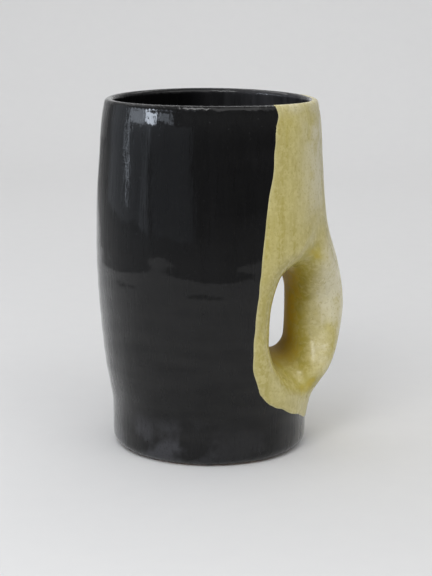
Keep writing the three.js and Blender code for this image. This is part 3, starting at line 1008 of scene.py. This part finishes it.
def paper_material(name, dark, light):
    """Pale matt paper or paint."""
    material, tree, shader = new_material(name)
    fibres = stretched_noise(tree, 60, 3)
    colour = blend(tree, fibres, dark, light)
    set_inputs(tree, shader, {"Base Color": colour, "Roughness": 0.9, "Specular IOR Level": 0.1})
    return material


def cut_surface():
    """The surface of the jug, cut along the edges of the glazes and along rows beside them."""
    points, triangles = jug_surface()
    for level in LIP_ROWS:
        points, triangles = cut_along(points, triangles, lip_side, level)
    points, triangles = cut_along(points, triangles, above_foot, 0.0)
    for level in YELLOW_ROWS:
        points, triangles = cut_along(points, triangles, yellow_depth, level)
    return points, triangles


def glaze_shares(points, normals):
    """What the materials need to know about the glaze at each vertex."""
    return {
        "edge": np.clip(yellow_depth(points), 0, EDGE_REACH),
        "shut": shut_in_share(points, normals),
        "floor_shade": painted_floor_shade_share(points),
        "thin": thin_glaze_and_sheen_share(points),
        "painted_tone": painted_inside_light_share(points),
    }


def make_jug():
    """Meshes the jug and makes the clay and one coat of each region of glaze."""
    points, triangles = cut_surface()
    flat_normals = vertex_normals(points, triangles)
    shares = glaze_shares(points, flat_normals)
    middles = points[triangles].mean(axis=1)
    lining = lip_side(middles) < LINER_EDGE
    foot = ~lining & (above_foot(middles) < 0)
    yellow = ~lining & ~foot & (yellow_depth(middles) > 0)
    black = ~lining & ~foot & ~yellow
    swell = glaze_swell(points)
    points = points + flat_normals * swell[:, None]
    normals = vertex_normals(points, triangles)

    black_glaze = black_glaze_material()
    yellow_glaze = yellow_glaze_material()
    clay = clay_material("bare_clay", CLAY_DARK, CLAY_LIGHT)
    make_clay(points, normals, triangles, foot, clay)
    for name, faces, material, slot, node in (
        ("black_coat", black, black_glaze, "black_glaze", "black_glaze"),
        ("yellow_coat", yellow, yellow_glaze, "yellow_glaze", "yellow_glaze"),
        ("lining_coat", lining, black_glaze, "black_glaze", "inner_glaze"),
    ):
        make_coat(name, points, normals, triangles[faces], shares, material, node)


def make_sheet(name, profile, half_width, material):
    """A stage sheet that follows a profile away from the camera and is flat from side to side."""
    corners = []
    for away, height in profile:
        corners += [(-half_width, away, height), (half_width, away, height)]
    faces = [(2 * i, 2 * i + 1, 2 * i + 3, 2 * i + 2) for i in range(len(profile) - 1)]
    mesh = bpy.data.meshes.new(name)
    mesh.from_pydata(corners, [], faces)
    mesh.shade_smooth()
    mesh.materials.append(material)
    sheet = bpy.data.objects.new(name, mesh)
    sheet.rotation_euler.z = CAMERA_AZIMUTH
    bpy.context.scene.collection.objects.link(sheet)


def make_stage():
    """White paper that curves up behind the jug, a white wall behind it and a grey studio floor."""
    curve = []
    for i in range(PAPER_BEND_STEPS + 1):
        angle = 90 * DEGREE * i / PAPER_BEND_STEPS
        curve.append((PAPER_BACK + PAPER_BEND * math.sin(angle), PAPER_BEND * (1 - math.cos(angle))))
    top = (PAPER_BACK + PAPER_BEND, PAPER_TOP)
    paper = paper_material("paper", PAPER_DARK, PAPER_LIGHT)
    ground = paper_material("studio_floor", STUDIO_DARK, STUDIO_LIGHT)
    make_sheet("paper", [(-PAPER_FRONT, 0), *curve, top], PAPER_HALF_WIDTH, paper)
    make_sheet("wall", [(WALL_AWAY, 0), (WALL_AWAY, PAPER_TOP)], WALL_HALF_WIDTH, paper)
    reach = FLOOR_REACH
    make_sheet("studio_floor", [(-reach, -PAPER_GAP), (reach, -PAPER_GAP)], reach, ground)


def make_lamp(name, place, target, size, watts, spread, colour):
    """An oblong lamp that faces the target and isn't seen by the camera."""
    light = bpy.data.lights.new(name, "AREA")
    light.shape = "RECTANGLE"
    light.size, light.size_y = size
    light.energy = watts
    light.color = colour
    light.spread = spread * DEGREE
    lamp = bpy.data.objects.new(name, light)
    lamp.location = place
    lamp.rotation_euler = (Vector(target) - Vector(place)).to_track_quat("-Z", "Y").to_euler()
    lamp.visible_camera = False
    bpy.context.scene.collection.objects.link(lamp)


def from_camera(bearing, distance, height):
    """A place at a bearing from the camera's side of the jug; positive bearings are to the right."""
    angle = CAMERA_AZIMUTH + bearing * DEGREE
    return (math.sin(angle) * distance, -math.cos(angle) * distance, height)


def make_room():
    """A dim room that is brighter overhead than at eye level."""
    world = bpy.data.worlds.new("room")
    world.use_nodes = True
    tree = world.node_tree
    direction = add_node(tree, "ShaderNodeTexCoord").outputs["Generated"]
    upward = add_node(tree, "ShaderNodeSeparateXYZ", {"Vector": direction}).outputs["Z"]
    colour = blend(tree, remap(tree, upward, 0.0, 1.0), ROOM_AT_EYE_LEVEL, ROOM_OVERHEAD)
    tree.links.new(colour, tree.nodes["Background"].inputs["Color"])
    bpy.context.scene.world = world


def make_light():
    """Windows at the left, which the black glaze mirrors, soft lamps all round and a dim room."""
    for lamps, colour in ((WINDOWS, DAYLIGHT), (SOFT_LAMPS, WHITE)):
        for name, place, aim, size, watts, spread in lamps:
            make_lamp(name, from_camera(*place), from_camera(*aim), size, watts, spread, colour)
    make_room()


def make_camera():
    """The photograph's camera, turned a little away from the handle and raised a little above the rim."""
    data = bpy.data.cameras.new("camera")
    data.sensor_fit = "VERTICAL"
    data.sensor_height = SENSOR_HEIGHT
    data.lens = FOCAL_PIXELS / PHOTO_HEIGHT * SENSOR_HEIGHT
    camera = bpy.data.objects.new("camera", data)
    place = Matrix.Translation(from_camera(0, CAMERA_DISTANCE, CAMERA_HEIGHT))
    heading = Matrix.Rotation(CAMERA_AZIMUTH - CAMERA_YAW, 4, "Z")
    tilt = Matrix.Rotation(math.pi / 2 - CAMERA_PITCH, 4, "X")
    roll = Matrix.Rotation(CAMERA_ROLL, 4, "Z")
    camera.matrix_world = place @ heading @ tilt @ roll
    bpy.context.scene.collection.objects.link(camera)
    bpy.context.scene.camera = camera


make_jug()
make_stage()
make_light()
make_camera()
bpy.context.scene.view_settings.view_transform = "Standard"
